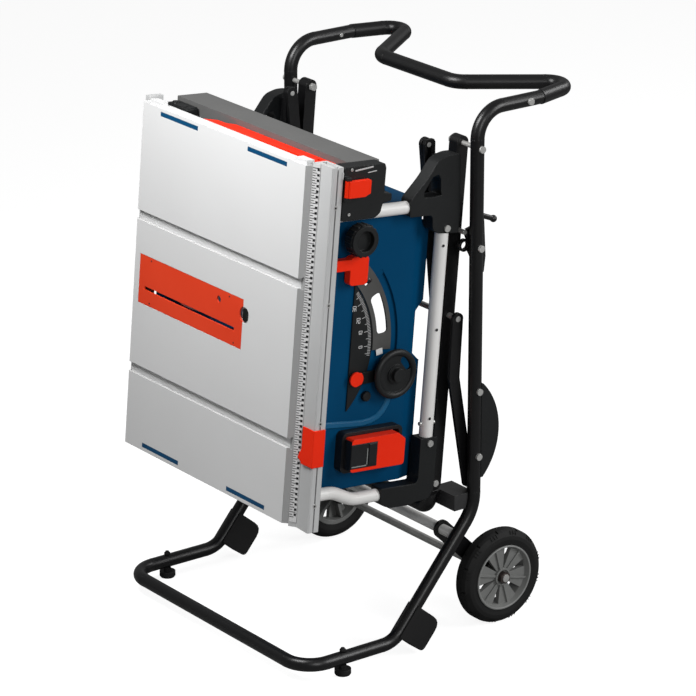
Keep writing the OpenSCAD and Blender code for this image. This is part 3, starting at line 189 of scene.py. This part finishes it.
MATERIALS = {
    # Tubes, fixings, wheels and feet of the stand
    "frame_black": material(
        "black_powder_coat", (0.0030, 0.0030, 0.0034), (0.0052, 0.0052, 0.0056), 0.33,
        spec=0.42, grain=50, fine=2200, bump=0.25, wear=(0.05, 0.05, 0.05)),
    "grip_black": material(
        "handle_coat", (0.0032, 0.0032, 0.0035), (0.0055, 0.0055, 0.0060), 0.38,
        spec=0.42, grain=50, fine=1500, bump=0.3),
    "silver_tube": material(
        "silver_tube_metal", (0.74, 0.735, 0.72), (0.81, 0.805, 0.79), 0.36,
        grain=30, fine=700, bump=0.06, stretch=(1, 1, 0.1)),
    "zinc": material(
        "zinc_plate", (0.48, 0.48, 0.47), (0.64, 0.64, 0.62), 0.32,
        metallic=0.6, grain=220, fine=1600),
    "nut_brown": material(
        "bronzed_nut", (0.045, 0.034, 0.032), (0.085, 0.066, 0.062), 0.34,
        metallic=0.5, grain=120, fine=1600, bump=0.15),
    "plastic_black": material(
        "black_moulding", (0.0046, 0.0052, 0.0056), (0.0085, 0.0095, 0.0100), 0.44,
        spec=0.34, fine=2600, bump=0.35, round_mm=2.2),
    "wheel_grey": material(
        "grey_moulding", (0.155, 0.158, 0.154), (0.205, 0.208, 0.202), 0.44,
        spec=0.4, fine=2400, bump=0.25, round_mm=1.6),
    # A lighter grey: the battery's release bars in their own colour, and a painted highlight on the
    # rims' lips
    "grey_bars_and_rim_highlight": material(
        "grey_bar_and_painted_rim_highlight", (0.21, 0.215, 0.21), (0.27, 0.275, 0.27), 0.36,
        spec=0.45, fine=2400, bump=0.2, round_mm=1.0),
    "tyre_black": material(
        "tyre_rubber", (0.0040, 0.0042, 0.0042), (0.0078, 0.0080, 0.0080), 0.70,
        spec=0.3, fine=1400, bump=0.5, round_mm=1.2),
    "foot_rubber": material(
        "foot_rubber", (0.0050, 0.0050, 0.0052), (0.0095, 0.0095, 0.0098), 0.62,
        spec=0.3, fine=1500, bump=0.45, round_mm=2.5),
    "bracket_grey": material(
        "rest_channel", (0.022, 0.022, 0.023), (0.034, 0.034, 0.035), 0.40,
        spec=0.4, fine=2200, bump=0.25),
    # Housing, table, rails and fence of the saw
    "housing_blue": material(
        "blue_paint", (0.0002, 0.046, 0.118), (0.0003, 0.056, 0.142), 0.42,
        spec=0.06, grain=30, fine=2400, bump=0.12, round_mm=3.0),
    # A lighter blue than the housing's paint, a painted highlight along the pressed ridge; its
    # higher gloss is the paint's own
    "ridge_highlight_blue": material(
        "painted_ridge_highlight", (0.004, 0.090, 0.200), (0.006, 0.105, 0.230), 0.34,
        spec=0.3, grain=30, fine=2400, bump=0.12, round_mm=2.0),
    "table_cast": material(
        "table_surface", (0.66, 0.662, 0.662), (0.70, 0.703, 0.703), 0.36,
        spec=0.3, grain=14, fine=1500, bump=0.06, round_mm=1.2, stretch=(0.15, 1, 1)),
    "throat_orange": material(
        "orange_paint", (0.72, 0.048, 0.014), (0.80, 0.062, 0.020), 0.38,
        spec=0.3, grain=30, fine=2000),
    "inlay_blue": material(
        "blue_inlay", (0.0008, 0.05, 0.13), (0.0012, 0.065, 0.16), 0.42,
        spec=0.3, fine=1200),
    "rail_alu": material(
        "rail_metal", (0.49, 0.495, 0.495), (0.56, 0.565, 0.565), 0.38,
        metallic=0.1, spec=0.4, grain=24, bump=0.06, stretch=(1, 1, 0.06)),
    "scale_white": material(
        "scale_strip", (0.62, 0.62, 0.62), (0.72, 0.72, 0.72), 0.45,
        spec=0.3, fine=1500),
    "beam_grey": material(
        "dark_anodised", (0.115, 0.115, 0.113), (0.15, 0.15, 0.148), 0.42,
        metallic=0.2, spec=0.35, grain=30, bump=0.06, round_mm=1.4, stretch=(0.06, 1, 1)),
    # Controls, battery and the parts inside
    "control_red": material(
        "red_moulding", (0.82, 0.022, 0.0035), (0.90, 0.028, 0.0045), 0.36,
        spec=0.15, grain=50, fine=2200, bump=0.15, round_mm=2.0),
    "pointer_red": material(
        "pointer_moulding", (0.82, 0.022, 0.0035), (0.90, 0.028, 0.0045), 0.36,
        spec=0.15, grain=50, fine=2200, bump=0.15, round_mm=1.5),
    "battery_black": material(
        "battery_case", (0.0050, 0.0055, 0.0062), (0.0095, 0.0100, 0.0112), 0.42,
        spec=0.34, fine=2600, bump=0.35, round_mm=2.0),
    "machine_grey": material(
        "cast_grey", (0.070, 0.070, 0.068), (0.10, 0.10, 0.097), 0.46,
        metallic=0.2, spec=0.35, fine=1200, bump=0.3, round_mm=1.5),
    "blade_steel": material(
        "blade_metal", (0.42, 0.42, 0.43), (0.52, 0.52, 0.53), 0.28,
        metallic=0.8, grain=40, bump=0.05),
    # Marks and numbers
    "print_white": material(
        "white_print", (0.62, 0.62, 0.62), (0.72, 0.72, 0.72), 0.5,
        grain=80, fine=1500),
    # Dark print of the rail's marks, and also the painted shade of holes and sockets
    "dark_marks_and_hole_shade": material(
        "black_print_and_hole_shade", (0.008, 0.008, 0.009), (0.014, 0.014, 0.015), 0.5,
        grain=80, fine=1500),
}


def two_tone(mat, measure, limit, colour):
    """A second colour where a measure of the object's own coordinates is over a limit."""
    tree = mat.node_tree
    base = next(n for n in tree.nodes if n.type == "BSDF_PRINCIPLED").inputs["Base Color"]
    place = add_node(tree, "ShaderNodeTexCoord").outputs["Object"]
    over = calculate(tree, "GREATER_THAN", measure(tree, place), limit)
    tree.links.new(mix_colours(tree, over, base.links[0].from_socket, colour), base)


def away_from(point):
    """The measure that is the distance from a point."""
    def measure(tree, place):
        gap = add_node(tree, "ShaderNodeVectorMath", {0: place, 1: point}, operation="DISTANCE")
        return gap.outputs["Value"]
    return measure


def along_x(tree, place):
    """The measure that is the place along X."""
    return add_node(tree, "ShaderNodeSeparateXYZ", {0: place}).outputs["X"]


# The pointer's round end is red and its long end is black
POINTER_END = saw(0.272, 0.4598, 0.2293)
POINTER_END_R = 0.0168
two_tone(MATERIALS["pointer_red"], away_from(POINTER_END), POINTER_END_R, (0.006, 0.0065, 0.007))
# The table's slanted front edge is left darker than its ground face
GROUND_FACE_X = 0.2562
two_tone(MATERIALS["table_cast"], along_x, GROUND_FACE_X, (0.36, 0.362, 0.362))


# Angles in degrees over which an edge stays sharp
NODE_EDGE = 28
PIECE_EDGE = 30


def shade(obj, angle):
    """Smooth shading that stays sharp at edges over an angle in degrees."""
    obj.data.polygons.foreach_set("use_smooth", [True] * len(obj.data.polygons))
    edges = obj.modifiers.new("edges", "EDGE_SPLIT")
    edges.split_angle = math.radians(angle)


def dress_nodes():
    """Give every CAD node the material of its slot, or its own look."""
    own_look = {"axle_nuts": "nut_brown", "rest_brackets": "bracket_grey",
                "bevel_pointer": "pointer_red"}
    slot_of = {s["node"]: s["material_slot"] for s in frame["record"]["subparts"]}
    for name, obj in frame["nodes"].items():
        obj.data.materials.clear()
        obj.data.materials.append(MATERIALS[own_look.get(name, slot_of[name])])
        shade(obj, NODE_EDGE)


# Mesh helpers
def add_piece(name, bm, slot, body, look=None):
    """Make a piece of a finished mesh, in the look of its slot unless another is named."""
    bmesh.ops.recalc_face_normals(bm, faces=bm.faces)
    mesh = bpy.data.meshes.new(name)
    bm.to_mesh(mesh)
    bm.free()
    piece = bpy.data.objects.new(name, mesh)
    bpy.context.scene.collection.objects.link(piece)
    mesh.materials.append(MATERIALS[look or slot])
    shade(piece, PIECE_EDGE)
    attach(piece, body)


def box_at(bm, matrix, size, bevel=0.0):
    """A box of a size, centred on a matrix, with rounded edges if a bevel is given."""
    geo = bmesh.ops.create_cube(bm, size=1.0, matrix=matrix @ Matrix.Diagonal((*size, 1)))
    if bevel:
        edges = {e for v in geo["verts"] for e in v.link_edges}
        bmesh.ops.bevel(bm, geom=list(edges), offset=bevel, segments=2, affect="EDGES")


def loft(bm, loops, closed=False):
    """Join loops of points by quads. The ends are joined too if closed, and capped if not."""
    rows = [[bm.verts.new(point) for point in loop] for loop in loops]
    following = rows[1:] + rows[:1] if closed else rows[1:]
    for near, far in zip(rows, following):
        for i in range(len(near)):
            j = (i + 1) % len(near)
            bm.faces.new((near[i], near[j], far[j], far[i]))
    if not closed:
        bm.faces.new(list(reversed(rows[0])))
        bm.faces.new(rows[-1])


def round_angles(count):
    """The angles of so many points round a circle."""
    return [2 * math.pi * i / count for i in range(count)]


def turned(bm, matrix, profile, count):
    """A solid about the matrix's Z, from rows of a height and a radius or a radius function."""
    def radius(r, a):
        return r(a) if callable(r) else r
    loft(bm, [[matrix @ Vector((radius(r, a) * math.cos(a), radius(r, a) * math.sin(a), z))
               for a in round_angles(count)] for z, r in profile])


def disc_at(bm, matrix, r, h, count, chamfer=0.0):
    """A short cylinder along the matrix's Z, with a chamfer at its far end."""
    end = [(h - chamfer, r), (h, r - chamfer)] if chamfer else [(h, r)]
    turned(bm, matrix, [(0.0, r)] + end, count)


def socket_screw(bm, matrix, r, h):
    """A cap screw: a chamfered head with a hexagon socket sunk in it."""
    chamfer = 0.12 * r
    socket_r = 0.5 * r
    socket_floor = 0.45 * h
    sixth = math.pi / 3

    def hexagon(a):
        return socket_r * math.cos(sixth / 2) / math.cos(a % sixth - sixth / 2)
    turned(bm, matrix, [(0.0, r), (h - chamfer, r), (h, r - chamfer), (h, hexagon),
                        (socket_floor, hexagon)], 24)


def ring_at(bm, matrix, r, tube):
    """A round ring about the matrix's Z."""
    loops = []
    for a in round_angles(64):
        reach = [(r + tube * math.cos(b), tube * math.sin(b)) for b in round_angles(10)]
        loops.append([matrix @ Vector((out * math.cos(a), out * math.sin(a), z))
                      for out, z in reach])
    loft(bm, loops, closed=True)


def strip(bm, points, width, x1, x2):
    """A raised band along (v, w) points on the saw's side, narrower at x2 than at x1."""
    top = 0.6
    loops = []
    for i, (v, w) in enumerate(points):
        (v1, w1), (v2, w2) = points[max(i - 1, 0)], points[min(i + 1, len(points) - 1)]
        scale = width / 2 / math.hypot(v2 - v1, w2 - w1)
        side_v, side_w = (w1 - w2) * scale, (v2 - v1) * scale
        loops.append([saw(x, v + s * side_v, w + s * side_w)
                      for x, s in ((x1, -1), (x2, -top), (x2, top), (x1, 1))])
    loft(bm, loops)


def arc_plate(bm, radii, depth, angles, steps):
    """A plate bent about the bevel's axis, between two radii, two x and two angles in degrees."""
    (r1, r2), (x1, x2), (a1, a2) = radii, depth, angles
    loops = []
    for i in range(steps + 1):
        a = math.radians(a1 + (a2 - a1) * i / steps)
        loops.append([saw(x, *round_bevel(r, a))
                      for x, r in ((x1, r1), (x2, r1), (x2, r2), (x1, r2))])
    loft(bm, loops)


# Marks and numbers of the scales
# The marks' thickness, and the middle of those on the bevel scale
MARK_T = 0.0004
BEVEL_SCALE_X = HOUSING_X + 0.0031


def rail_ticks():
    """Ticks on the sloping strip of the front rail, and bold marks down its outer edge."""
    first, step, count = 0.014, 0.005, 143
    bold_first, bold_step, bold_count = 0.017, 0.0108, 66
    bm = bmesh.new()
    # The strip's upper and lower edge, in x and w
    (x1, w1), (x2, w2) = (0.27099, 0.37127), (0.28299, 0.36277)
    slope = math.atan2(w2 - w1, x2 - x1)
    across = math.hypot(x2 - x1, w2 - w1)

    def mark(v, middle, length, thick):
        place = saw_matrix(x1 + math.cos(slope) * middle, v, w1 + math.sin(slope) * middle,
                           Matrix.Rotation(-slope, 4, "Y"))
        box_at(bm, place, (length, thick, MARK_T))
    for i in range(count):
        # Longest every 50 mm and long every 10 mm
        share = 1.0 if i % 10 == 0 else 0.72 if i % 2 == 0 else 0.45
        length = across * 0.84 * share
        mark(first + step * i, length / 2, length, 0.0012)
    for i in range(bold_count):
        mark(bold_first + bold_step * i, across * 0.78, across * 0.32, 0.0050)
    add_piece("rail_ticks", bm, "scale_white", "saw", look="dark_marks_and_hole_shade")


def bevel_ticks():
    """White degree marks along the arc of the bevel scale, longer every 5 and 10 degrees."""
    outer_r = 0.187
    bm = bmesh.new()
    for degree in range(-6, 39):
        a = math.radians(degree)
        length = 0.016 if degree % 10 == 0 else 0.012 if degree % 5 == 0 else 0.007
        r = outer_r - length / 2
        place = saw_matrix(BEVEL_SCALE_X, *round_bevel(r, a), Matrix.Rotation(a, 4, "X"))
        box_at(bm, place, (MARK_T, 0.0009, length))
    add_piece("bevel_ticks", bm, "scale_white", "saw", look="print_white")


# The bars of each figure
FIGURES = {"0": "abcdef", "1": "bc", "2": "abged", "3": "abgcd"}
# Each bar's place across, in half bars, its place up, in bars, and whether it lies level
BARS = {"a": (0, 1, True), "g": (0, 0, True), "d": (0, -1, True), "f": (-1, 0.5, False),
        "b": (1, 0.5, False), "e": (-1, -0.5, False), "c": (1, -0.5, False)}


def number(bm, text, place, size, thick):
    """Plain figures built from short bars on the XY face of place."""
    bar = size * 0.5
    for i, figure in enumerate(text):
        middle = (i - (len(text) - 1) / 2) * size * 0.8
        for name in FIGURES[figure]:
            x, y, lying = BARS[name]
            at = place @ Matrix.Translation((middle + x * bar / 2, y * bar, 0))
            box_at(bm, at, (bar, thick, MARK_T) if lying else (thick, bar, MARK_T))


def bevel_numbers():
    """Plain numbers inside the arc of the bevel scale."""
    bm = bmesh.new()
    upright = X_OUT @ Matrix.Rotation(math.radians(90), 4, "Z")
    r = 0.162
    for degree in (0, 10, 20, 30):
        place = saw_matrix(BEVEL_SCALE_X, *round_bevel(r, math.radians(degree)), upright)
        number(bm, str(degree), place, 0.008, 0.0012)
    add_piece("bevel_numbers", bm, "scale_white", "saw", look="print_white")


# Details of the housing's right side
def slot_cover():
    """A sliding cover behind the curved slot, and the fixed plug and strip at the slot's edges."""
    bm = bmesh.new()
    arc_plate(bm, (0.235, 0.2555), (0.2548, 0.2576), (-27, 35.3), 33)
    add_piece("slot_cover", bm, "housing_blue", "carriage")
    bm = bmesh.new()
    # The plug in the slot's upper end, and the strip behind the slot's outer edge
    arc_plate(bm, (0.2378, 0.2562), (0.2580, 0.2616), (35.1, 37.3), 3)
    arc_plate(bm, (0.2557, 0.2620), (0.2548, 0.2578), (-27, 38), 33)
    add_piece("slot_plug", bm, "housing_blue", "saw")


def window_corner(bm, r, angle, side_r, side_a, cut):
    """Fill a window's corner up to a rounding of radius cut. The sides lead into the window."""
    arc_back, arc_front = 0.2624, 0.26565
    behind = 0.0006
    quarter = [t * math.pi / 12 for t in range(7)]
    flat = [(-behind * side_r, -behind * side_a)]
    for t in quarter:
        flat.append((cut * side_r * (1 - math.cos(t)), cut * side_a * (1 - math.sin(t))))
    rim = [round_bevel(r + out, math.radians(angle) + along / (r + out)) for out, along in flat]
    loft(bm, [[saw(x, v, w) for v, w in rim] for x in (arc_back, arc_front)])


def window_corners():
    """Round corners in the windows of the bevel arc."""
    bm = bmesh.new()
    for r1, r2, a1, a2, cut in ((0.202, 0.228, 6, 29, 0.009), (0.206, 0.224, 37, 39.5, 0.0038)):
        for r, side_r in ((r1, 1), (r2, -1)):
            for angle, side_a in ((a1, 1), (a2, -1)):
                window_corner(bm, r, angle, side_r, side_a, cut)
    add_piece("window_corners", bm, "machine_grey", "saw")


def battery_front():
    """The black front that wraps the battery's outer side, with its grey release bars."""
    bm = bmesh.new()
    # The outer plate, the part round its left edge, and the raised latch
    box_at(bm, saw_matrix(0.3063, 0.6085, 0.2225), (0.0014, 0.051, 0.0655), 0.0006)
    box_at(bm, saw_matrix(0.2920, 0.6070, 0.2547), (0.0290, 0.062, 0.0012), 0.0005)
    box_at(bm, saw_matrix(0.3076, 0.6070, 0.2020), (0.0018, 0.044, 0.020), 0.0008)
    add_piece("battery_front", bm, "battery_black", "battery")
    bm = bmesh.new()
    box_at(bm, saw_matrix(0.3074, 0.6110, 0.2150), (0.0008, 0.034, 0.0024), 0.0003)
    box_at(bm, saw_matrix(0.3074, 0.6295, 0.2345), (0.0008, 0.0024, 0.037), 0.0003)
    add_piece("battery_bar", bm, "rail_alu", "battery", look="grey_bars_and_rim_highlight")


def housing_ridge():
    """The pressed ridge below the controls, turning up behind the handwheel; its lighter blue is
    painted.
    """
    route = [(0.548, 0.335), (0.550, 0.300), (0.553, 0.260), (0.556, 0.225), (0.557, 0.200),
             (0.555, 0.180), (0.549, 0.163), (0.538, 0.150), (0.524, 0.141), (0.508, 0.136),
             (0.492, 0.133)]
    bm = bmesh.new()
    strip(bm, route, 0.0150, 0.2618, 0.2650)
    # The ridge is drawn in the lighter blue, a painted highlight
    add_piece("housing_ridge", bm, "housing_blue", "saw", look="ridge_highlight_blue")


def stop_screw():
    """The ribbed stop screw below the bevel arc."""
    bm = bmesh.new()
    v, w = 0.5000, 0.1976
    r, ribs = 0.0095, 12
    disc_at(bm, saw_matrix(0.2626, v, w, X_OUT), r, 0.0085, 24, 0.001)
    for i in range(ribs):
        turn = saw_matrix(0.2670, v, w, X_OUT) @ Matrix.Rotation(2 * math.pi * i / ribs, 4, "Z")
        box_at(bm, turn @ Matrix.Translation((r, 0, 0)), (0.0016, 0.0018, 0.0075), 0.0002)
    add_piece("stop_screw", bm, "plastic_black", "saw")


def arc_label():
    """The small bare label on the bevel arc."""
    bm = bmesh.new()
    place = saw_matrix(0.2659, 0.411, 0.1713, Matrix.Rotation(0.2, 4, "X"))
    box_at(bm, place, (0.0008, 0.013, 0.016), 0.0003)
    add_piece("arc_label", bm, "scale_white", "saw")


# Fixings of the saw
def saw_fixings():
    """Flat rail screws, cap screws of the base tube and fence head, and painted shade in holes."""
    bm = bmesh.new()
    for v in RAIL_SCREWS_V:
        disc_at(bm, saw_matrix(RAIL_X, v, RAIL_SCREW_W, X_OUT), 0.0048, 0.0007, 24)
    # On both sides of the base tube
    for side, angle in ((1, 0), (-1, 180)):
        turn = Matrix.Rotation(math.radians(angle), 4, "X")
        place = saw_matrix(BASE_TUBE_X, 0.573, BASE_TUBE_W + side * 0.015, turn)
        socket_screw(bm, place, 0.0042, 0.0045)
    # At both ends of the fence's head
    for v in (0.011, 0.100):
        socket_screw(bm, saw_matrix(RAIL_X, v, 0.318, X_OUT), 0.0030, 0.0020)
    add_piece("saw_screws", bm, "zinc", "saw")
    bm = bmesh.new()
    # Painted shade: dark hexagons in the sockets of the rail's screws
    for v in RAIL_SCREWS_V:
        disc_at(bm, saw_matrix(RAIL_X + 0.0002, v, RAIL_SCREW_W, X_OUT), 0.0024, 0.00058, 6)
    # Painted shade: dark discs for the holes of the base tube
    for v in (0.200, 0.374, 0.560):
        disc_at(bm, saw_matrix(BASE_HOLE_SHADE_X, v, 0.0500, X_OUT), 0.0030, 0.0009, 20)
    # Painted shade: dark discs for the holes of the throat plate
    for x, v in ((-0.236, 0.334), (0.040, 0.334), (-0.236, 0.424), (0.062, 0.424)):
        disc_at(bm, saw_matrix(x, v, 0.3806), 0.0017, 0.0006, 16)
    add_piece("saw_hole_shade", bm, "plastic_black", "saw", look="dark_marks_and_hole_shade")


# Details of the fence and the table
def head_trim():
    """Bright strips on the fence's black head and on the rail beside it."""
    bm = bmesh.new()
    lean = Matrix.Rotation(math.radians(6), 4, "X")
    box_at(bm, saw_matrix(0.3244, 0.0115, 0.288, lean), (0.0010, 0.0032, 0.044), 0.0003)
    box_at(bm, saw_matrix(0.3244, 0.0190, 0.268, lean), (0.0008, 0.0022, 0.022), 0.0003)
    box_at(bm, saw_matrix(0.3248, 0.0215, 0.3392), (0.0010, 0.015, 0.0042), 0.0003)
    add_piece("head_trim", bm, "rail_alu", "saw")


def fence_rear_clamp():
    """The clamp at the fence's rear end, with its round button."""
    bm = bmesh.new()
    box_at(bm, saw_matrix(-0.246, 0.026, 0.3200), (0.070, 0.026, 0.036), 0.003)
    box_at(bm, saw_matrix(-0.232, 0.018, 0.3330), (0.030, 0.018, 0.024), 0.003)
    button = saw_matrix(-0.262, 0.0135, 0.3240, Matrix.Rotation(math.radians(-90), 4, "X"))
    disc_at(bm, button, 0.008, 0.0050, 24, 0.001)
    add_piece("fence_rear_clamp", bm, "plastic_black", "saw")


def chip_guard():
    """The small guard behind the blade's slot."""
    bm = bmesh.new()
    box_at(bm, saw_matrix(-0.247, 0.397, 0.3740), (0.030, 0.014, 0.0030), 0.0005)
    add_piece("chip_guard", bm, "plastic_black", "saw")


# Details of the wheels
# The middle of a tyre, and its outer radius
WHEEL_X = 0.2865
AXLE_Y = 0.162
WHEEL_R = 0.1015


def wheel_trim(body, side):
    """A painted highlight ring on the rim's lip, and the low marks on the tyre's shoulder."""
    highlight_r, highlight_out, highlight_tube = 0.0676, 0.0216, 0.0016
    shoulder_r, shoulder_out, shoulder_slope = 0.0962, 0.0182, math.radians(40)
    groups, group_step = 12, 4.2
    middle = Vector((side * WHEEL_X, AXLE_Y, WHEEL_R)) - SHIFT
    outward = X_OUT if side > 0 else X_OUT @ Matrix.Rotation(math.pi, 4, "X")
    base = Matrix.Translation(middle) @ outward
    bm = bmesh.new()
    # A thin ring in a lighter grey on the rim's lip, a painted highlight
    ring_at(bm, base @ Matrix.Translation((0, 0, highlight_out)), highlight_r, highlight_tube)
    add_piece("rim_highlight_ring_" + body, bm, "wheel_grey", body, look="grey_bars_and_rim_highlight")
    bm = bmesh.new()
    on_shoulder = (Matrix.Translation((shoulder_r, 0, shoulder_out))
                   @ Matrix.Rotation(shoulder_slope, 4, "Y"))
    for i in range(groups):
        for k in (-1, 0, 1):
            angle = (i + 0.5) * 360 / groups + group_step * k
            turn = Matrix.Rotation(math.radians(angle), 4, "Z")
            box_at(bm, base @ turn @ on_shoulder, (0.0090, 0.0016, 0.0012), 0.0003)
    add_piece("tyre_marks_" + body, bm, "tyre_black", body)


dress_nodes()
rail_ticks()
bevel_ticks()
bevel_numbers()
slot_cover()
window_corners()
battery_front()
housing_ridge()
saw_fixings()
head_trim()
stop_screw()
arc_label()
fence_rear_clamp()
chip_guard()
wheel_trim("wheel_left", -1)
wheel_trim("wheel_right", 1)


# Stage, light and camera
# The floor's own light in the camera's view, where 1 is white
FLOOR_GLOW = 0.88


def floor_material():
    """A pale floor that reads as white in the camera's view and is dim in reflections."""
    mat = bpy.data.materials.new("floor_white")
    tree = new_tree(mat)
    path = add_node(tree, "ShaderNodeLightPath")
    grey = ramp(tree, noise(tree, Scale=3.0, Detail=2.0), (0.33,) * 3, (0.35,) * 3)
    matt = add_node(tree, "ShaderNodeBsdfDiffuse", {"Color": grey})
    # In the camera's view, most of the floor's light is its own
    glow = calculate(tree, "MULTIPLY", path.outputs["Is Camera Ray"], FLOOR_GLOW)
    own = add_node(tree, "ShaderNodeEmission", {"Strength": glow})
    seen = add_node(tree, "ShaderNodeAddShader",
                    {0: matt.outputs["BSDF"], 1: own.outputs["Emission"]})
    # In a reflection it is dim, so black parts keep their depth
    dim = add_node(tree, "ShaderNodeBsdfDiffuse", {"Color": (0.24, 0.24, 0.24, 1)})
    surface = mix_shaders(tree, path.outputs["Is Glossy Ray"], seen.outputs["Shader"],
                          dim.outputs["BSDF"])
    add_node(tree, "ShaderNodeOutputMaterial", {"Surface": surface})
    return mat


def make_floor():
    """A wide floor just under the feet."""
    bpy.ops.mesh.primitive_plane_add(size=60, location=(0, 0, -0.0004))
    floor = bpy.context.object
    floor.name = "floor"
    floor.data.materials.append(floor_material())


def make_world():
    """Soft light all round, twice as strong in reflections, and a white background in view."""
    world = bpy.data.worlds.new("studio")
    bpy.context.scene.world = world
    tree = new_tree(world)
    path = add_node(tree, "ShaderNodeLightPath")

    def white(strength):
        inputs = {"Color": (1, 1, 1, 1), "Strength": strength}
        return add_node(tree, "ShaderNodeBackground", inputs).outputs["Background"]
    light = mix_shaders(tree, path.outputs["Is Glossy Ray"], white(0.11), white(0.22))
    surface = mix_shaders(tree, path.outputs["Is Camera Ray"], light, white(1.0))
    add_node(tree, "ShaderNodeOutputWorld", {"Surface": surface})


def add_lamp(name, place, target, size, power):
    """A rectangular lamp of a size in metres and a power in watts, turned to its target."""
    lamp = bpy.data.lights.new(name, "AREA")
    lamp.shape = "RECTANGLE"
    lamp.size, lamp.size_y = size
    lamp.energy = power
    obj = bpy.data.objects.new(name, lamp)
    obj.location = place
    obj.rotation_euler = (Vector(target) - Vector(place)).to_track_quat("-Z", "Y").to_euler()
    bpy.context.scene.collection.objects.link(obj)


def make_camera():
    """The photograph's camera. Its focal length and the photograph's side are in pixels, its
    sensor is in millimetres, and its angles are in degrees."""
    focal, photo_side, sensor = 3852.2, 696, 36
    camera = bpy.data.cameras.new("camera")
    camera.sensor_width = sensor
    camera.lens = focal * sensor / photo_side
    camera.clip_end = 60
    obj = bpy.data.objects.new("camera", camera)
    obj.location = Vector((5.97156, -4.4835, 3.2423)) - SHIFT
    down, roll, turn = 19.819, 0.03, 53.149
    obj.rotation_euler = (math.radians(90 - down), math.radians(roll), math.radians(turn))
    bpy.context.scene.collection.objects.link(obj)
    bpy.context.scene.camera = obj


make_floor()
make_world()
add_lamp("key", (0.0, -1.02, 2.02), (0, -0.30, 0.8), (0.7, 0.7), 29)
add_lamp("right", (3.6, 2.2, 2.6), (0, 0, 0.6), (1.4, 2.4), 95)
add_lamp("side", (4.2, -1.2, 2.2), (0, 0, 0.6), (1.2, 2.0), 52)
add_lamp("back", (0.8, 3.6, 3.0), (0, 0, 0.6), (2.0, 1.4), 60)
make_camera()
bpy.context.scene.view_settings.view_transform = "Standard"
